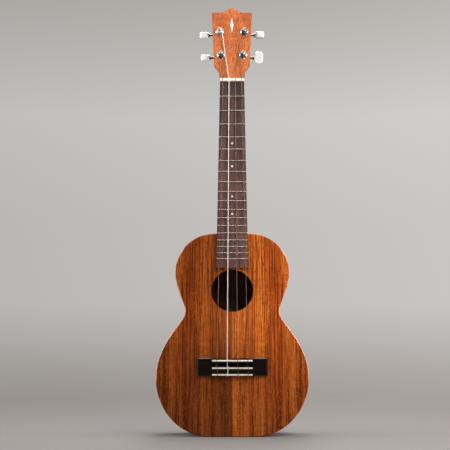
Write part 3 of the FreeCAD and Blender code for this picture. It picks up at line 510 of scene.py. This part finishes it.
def soft_edges(node, radius, segments, pick=None):
    """A copy of a CAD node with its sharp edges rounded, or only those that pick accepts."""
    mesh = NODES[node].data.copy()
    work = bmesh.new()
    work.from_mesh(mesh)
    bmesh.ops.remove_doubles(work, verts=work.verts, dist=WELD)
    bmesh.ops.dissolve_limit(work, angle_limit=FLAT, verts=work.verts, edges=work.edges)
    sharp = [edge for edge in work.edges if len(edge.link_faces) == 2
             and edge.calc_face_angle(0) > SHARP and (pick is None or pick(edge))]
    bmesh.ops.bevel(work, geom=sharp, offset=radius, segments=segments, profile=0.5, affect="EDGES",
                    clamp_overlap=True)
    bmesh.ops.triangulate(work, faces=[face for face in work.faces if len(face.verts) > 4])
    for face in work.faces:
        face.smooth = True
    for edge in work.edges:
        edge.smooth = edge.calc_face_angle(0) < CREASE
    work.to_mesh(mesh)
    work.free()
    mesh.validate()
    piece = place_piece(node + "_shaped", mesh, node)
    piece.modifiers.new("weighted", "WEIGHTED_NORMAL").keep_sharp = True


def outward(normal):
    """Picks the edges around the faces that look along normal, except at the seam and the soundhole."""
    def pick(edge):
        looks = [face.normal.dot(normal) for face in edge.link_faces]
        at_seam = all(abs(vert.co.x) < SEAM_REACH for vert in edge.verts)
        at_hole = all(math.hypot(vert.co.x - HOLE.x, vert.co.z - HOLE.z) < HOLE_REACH for vert in edge.verts)
        return max(looks) > ALIGNED and min(looks) < TURNED and not at_seam and not at_hole
    return pick


def bridge_rim(edge):
    """Picks the edges where the bridge's front meets its ends and its side towards the neck."""
    looks = [face.normal for face in edge.link_faces]
    front = any(normal.dot(OUT_FRONT) > FORWARD for normal in looks)
    outer = any(normal.z > ALIGNED or abs(normal.x) > ALIGNED for normal in looks)
    at_rim = all(vert.co.z > BRIDGE_HIGH.z - RIM_REACH or abs(vert.co.x) > BRIDGE_HIGH.x - RIM_REACH
                 for vert in edge.verts)
    return front and outer and at_rim


for side in ("bass", "treble"):
    soft_edges("soundboard_" + side + "_half", SOUNDBOARD_CHAMFER, 1, outward(OUT_FRONT))
    soft_edges("back_" + side + "_half", BACK_ROUNDING, 4, outward(OUT_BACK))
soft_edges("headplate", HEAD_ROUNDING, 3, outward(FACE_NORMAL))
soft_edges("fretboard", FRETBOARD_ROUNDING, 3, outward(OUT_FRONT))
soft_edges("bridge", BRIDGE_CHAMFER, 1, bridge_rim)
soft_edges("nut", NUT_ROUNDING, 2)
soft_edges("saddle", SADDLE_ROUNDING, 2)


# ---------------------------------------------------------------- buttons and windings
def grow_mesh(name, rings):
    """A closed skin through rings of points, with a lid on the first ring and on the last."""
    count = len(rings[0])
    points = [tuple(point) for ring in rings for point in ring]
    faces = []
    for start in range(0, len(points) - count, count):
        for k in range(count):
            a, b = start + k, start + (k + 1) % count
            faces.append((a, b, b + count, a + count))
    faces.append(tuple(reversed(range(count))))
    faces.append(tuple(range(len(points) - count, len(points))))
    mesh = bpy.data.meshes.new(name)
    mesh.from_pydata(points, [], faces)
    work = bmesh.new()
    work.from_mesh(mesh)
    bmesh.ops.recalc_face_normals(work, faces=work.faces)
    for face in work.faces:
        face.smooth = True
    work.to_mesh(mesh)
    work.free()
    return mesh


# how far each button is turned about its stem at rest, in degrees from lying flat in the head's plane
BUTTON_TURN = {"lower_bass": 120.0, "lower_treble": 30.0, "upper_bass": 120.0, "upper_treble": 111.0}
BUTTON_HALF_W = 9.8 * MM
BUTTON_HALF_T = 4.8 * MM
# how far along the grip from its stem, and the share of the half width there
BUTTON_PROFILE = [(0.0, 0.46), (0.10, 0.80), (0.24, 0.98), (0.50, 1.0), (0.76, 0.98), (0.91, 0.84),
                  (1.0, 0.56)]
# level between the two faces, and the size of the outline there
BUTTON_LEVELS = [(-1.0, 0.80), (-0.86, 0.93), (-0.45, 1.0), (0.45, 1.0), (0.86, 0.93), (1.0, 0.80)]
BUTTON_LENGTH_POWER = 0.6     # towards the faces the outline loses less of its length than of its width
BUTTON_ROUNDING = 0.55 * MM
BUTTON_CREASE = math.radians(24)    # edges that turn more than this are rounded


def make_button(place):
    """A pearly grip: a blunt oval that is narrowest at its stem and rounded off towards both faces."""
    node = "tuner_button_" + place
    low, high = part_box(node)
    start, end = (low.x, high.x) if "treble" in place else (high.x, low.x)
    stem = Vector(JOINTS["button_turn_" + place]["pos_m"])
    turn = math.radians(BUTTON_TURN[place])
    wide = FACE_UP * math.cos(turn) + FACE_NORMAL * math.sin(turn)
    thick = -FACE_UP * math.sin(turn) + FACE_NORMAL * math.cos(turn)
    outline = BUTTON_PROFILE + [(t, -w) for t, w in reversed(BUTTON_PROFILE)]
    rings = []
    for level, size in BUTTON_LEVELS:
        ring = []
        for t, w in outline:
            along = start + (end - start) * (0.5 + (t - 0.5) * size ** BUTTON_LENGTH_POWER)
            ring.append(Vector((along, stem.y, stem.z)) + wide * (w * size * BUTTON_HALF_W)
                        + thick * (level * BUTTON_HALF_T))
        rings.append(ring)
    piece = place_piece(node + "_grip", grow_mesh(node + "_grip", rings), node)
    rounding = piece.modifiers.new("round", "BEVEL")
    rounding.width = BUTTON_ROUNDING
    rounding.segments = 3
    rounding.limit_method = "ANGLE"
    rounding.angle_limit = BUTTON_CREASE
    piece.modifiers.new("weighted", "WEIGHTED_NORMAL")


POST_RADIUS = 3.0 * MM
JOINT_DEPTH = 18.0 * MM       # from the posts' joints forward to the front of the head's core
WIND_LEVEL = 4.9 * MM         # from there forward to where a string reaches its post
WIND_TURNS = 3.35
WIND_PITCH = 2.1              # how far one turn climbs, in string radii
WIND_STEPS = 120
WIND_GAP = 0.05 * MM          # between the post and its winding
WIND_START = 0.1 * MM         # the coil's lowest side lies this far in front of that level
TUBE_SIDES = 10
# of the G, C, E and A strings
STRING_RADIUS = {"lower_bass": 0.40 * MM, "upper_bass": 0.52 * MM, "upper_treble": 0.44 * MM,
                 "lower_treble": 0.36 * MM}


def sweep(name, path, radius):
    """A round tube along a fine path."""
    angles = [2 * math.pi * side / TUBE_SIDES for side in range(TUBE_SIDES)]
    normal = (path[1] - path[0]).normalized().orthogonal().normalized()
    rings = []
    for before, point, after in zip(path[:1] + path, path, path[1:] + path[-1:]):
        ahead = (after - before).normalized()
        normal = (normal - ahead * normal.dot(ahead)).normalized()
        other = ahead.cross(normal)
        rings.append([point + (normal * math.cos(a) + other * math.sin(a)) * radius for a in angles])
    return grow_mesh(name, rings)


def make_winding(place):
    """A string's turns around its post. They start on the inner side, where the string arrives, and climb."""
    node = "string_winding_" + place
    radius = STRING_RADIUS[place]
    across = Vector((-1 if "treble" in place else 1, 0, 0))
    base = Vector(JOINTS["post_turn_" + place]["pos_m"]) + FACE_NORMAL * (JOINT_DEPTH + WIND_LEVEL)
    reach = POST_RADIUS + radius + WIND_GAP
    path = []
    for k in range(WIND_STEPS + 1):
        turns = WIND_TURNS * k / WIND_STEPS
        angle = 2 * math.pi * turns
        rise = FACE_NORMAL * (WIND_START + radius + WIND_PITCH * radius * turns)
        path.append(base + (across * math.cos(angle) + FACE_UP * math.sin(angle)) * reach + rise)
    place_piece(node + "_coil", sweep(node + "_coil", path, radius), node)


for place in PLACES:
    make_button(place)
    make_winding(place)


# ---------------------------------------------------------------- camera, floor and light
CAMERA_PLACE = (-0.0111, -1.4568, 0.15005)
CAMERA_RISE = 6.85            # degrees above level
CAMERA_LENS = 74.2
FLOOR_REACH = 30.0
FLOOR_SIDES = 64
FLOOR_NEAR = 0.35             # the floor's nearness is one half at this distance
FLOOR_SIDEWAYS = 0.6          # the larger, the more gently the floor brightens from side to side
FLAG = 0.20                   # how much of the floor's brightness is left in glossy reflections


def aim_camera():
    data = bpy.data.cameras.new("camera")
    data.lens = CAMERA_LENS
    camera = link("camera", data)
    camera.location = CAMERA_PLACE
    camera.rotation_euler = (math.radians(90 + CAMERA_RISE), 0, 0)
    bpy.context.scene.camera = camera


def area_light(name, place, target, size, power, colour=(1, 1, 1)):
    data = bpy.data.lights.new(name, "AREA")
    data.shape = "RECTANGLE"
    data.size, data.size_y = size
    data.energy = power
    data.color = colour
    light = link(name, data)
    light.location = place
    light.visible_camera = False
    light.rotation_euler = (Vector(target) - Vector(place)).to_track_quat("-Z", "Y").to_euler()


def lay_floor():
    """A pale round floor. Far from the object it takes on the backdrop's brightness, so there is no edge."""
    mesh = bpy.data.meshes.new("floor")
    turns = [2 * math.pi * k / FLOOR_SIDES for k in range(FLOOR_SIDES)]
    mesh.from_pydata([(FLOOR_REACH * math.cos(t), FLOOR_REACH * math.sin(t), 0) for t in turns], [],
                     [list(range(FLOOR_SIDES))])
    floor = link("floor", mesh)
    g = Material("floor")
    x, y, _ = g.axes(g.place)
    distance = g.math("SQRT", g.plus(g.times(x, x), g.times(y, y)))
    # one over the distance, so that even steps of it look even towards the horizon
    nearness = g.math("DIVIDE", FLOOR_NEAR, g.plus(distance, FLOOR_NEAR))
    far_colour = g.ramp(nearness, (0.0, linear(179, 175, 172)), (0.012, linear(179, 175, 172)),
                        (0.035, linear(174, 169, 165)), (0.12, linear(164, 159, 155)),
                        (0.26, linear(158, 152, 148)), (0.5, linear(164, 157, 153)))
    fade = g.ramp(nearness, (0.28, 1.0), (0.62, 0.0))
    weave = g.noise(g.place, 500.0, 3.0)
    cloth = g.ramp(weave, (0.3, linear(104, 100, 97)), (0.7, linear(112, 108, 105)))
    # seen in glossy surfaces as if a dark flag lay on the floor
    mirrored = g.add("ShaderNodeLightPath").outputs["Is Glossy Ray"]
    flag = g.ramp(mirrored, (0.0, 1.0), (1.0, FLAG))
    g.finish(g.shade(cloth, flag), 0.9)
    glow = g.add("ShaderNodeEmission")
    sideways = g.math("DIVIDE", x, g.plus(distance, FLOOR_SIDEWAYS))
    g.feed(glow.inputs["Color"], light_side(g, g.shade(far_colour, flag), sideways))
    blend = g.add("ShaderNodeMixShader")
    for socket, value in zip(blend.inputs, (fade, g.shader.outputs[0], glow.outputs[0])):
        g.feed(socket, value)
    g.feed(g.tree.nodes["Material Output"].inputs["Surface"], blend.outputs[0])
    mesh.materials.append(g.material)


def light_side(g, colour, x):
    """The backdrop is brighter towards +X, where the key light stands."""
    return g.shade(colour, g.ramp(g.plus(g.times(x, 1.9), 0.5, clamp=True), (0.0, 0.93), (1.0, 1.13)))


def light_world():
    """A backdrop for the camera. All else is lit by a dim room, soft boxes overhead and one on each flank."""
    world = bpy.data.worlds.new("studio")
    bpy.context.scene.world = world
    world.use_nodes = True
    g = Graph(world.node_tree)
    x, y, z = g.axes(g.coords("Generated"))
    seen = g.ramp(g.plus(z, 0.1, clamp=True), (0.06, linear(178, 174, 171)), (0.10, linear(179, 175, 172)),
                  (0.135, linear(191, 187, 184)), (0.22, linear(191, 188, 185)),
                  (0.33, linear(198, 196, 193)), (0.45, linear(174, 170, 166)), (0.8, linear(160, 156, 152)))
    seen = light_side(g, seen, x)
    room = g.ramp(g.halved(z), (0.40, 0.16), (0.55, 0.10), (0.72, 0.12), (0.765, 1.15), (0.80, 0.62),
                  (0.86, 0.60), (0.90, 1.2), (1.0, 1.0))
    # the room is darker in front than behind, except overhead
    behind = g.ramp(g.halved(y), (0.25, 0.22), (0.5, 0.75), (0.8, 1.0))
    overhead = g.ramp(z, (0.52, 0.0), (0.60, 1.0))
    room = g.shade(room, g.mix(overhead, behind, (0.85, 0.85, 0.85)))
    flank = g.ramp(g.math("ABSOLUTE", x), (0.70, 0.0), (0.80, 1.0), (0.95, 1.0), (1.0, 0.6))
    room = g.mix(1.0, room, g.shade(flank, (1.7, 1.7, 1.7)), "ADD")
    path = g.add("ShaderNodeLightPath").outputs["Is Camera Ray"]
    g.feed(g.tree.nodes["Background"].inputs["Color"], g.mix(path, room, seen))


aim_camera()
lay_floor()
light_world()
bpy.context.scene.view_settings.view_transform = "Standard"
# place, the point it is aimed at, size and power
area_light("key", (0.34, -0.56, 0.66), (0, 0, 0.22), (0.34, 0.34), 3.2, (1.0, 0.97, 0.92))
area_light("head", (0.62, -0.50, 1.05), (0, 0, 0.63), (0.35, 0.25), 1.05)
area_light("fill", (-1.2, -1.3, 1.1), (0, 0, 0.45), (0.8, 1.0), 1.5)
area_light("top", (0.0, 0.02, 1.40), (0, 0, 0.1), (0.6, 0.4), 4.0)
area_light("behind", (0.0, 0.34, 1.35), (0, 0, 0.1), (0.5, 0.3), 5.0)
area_light("rim_bass", (-0.95, -0.03, 0.40), (0, 0, 0.22), (0.26, 1.1), 9.0)
area_light("rim_treble", (0.95, -0.03, 0.40), (0, 0, 0.22), (0.26, 1.1), 9.0)
area_light("back", (0.2, 1.1, 1.3), (0, 0, 0.1), (0.8, 0.5), 9.0)
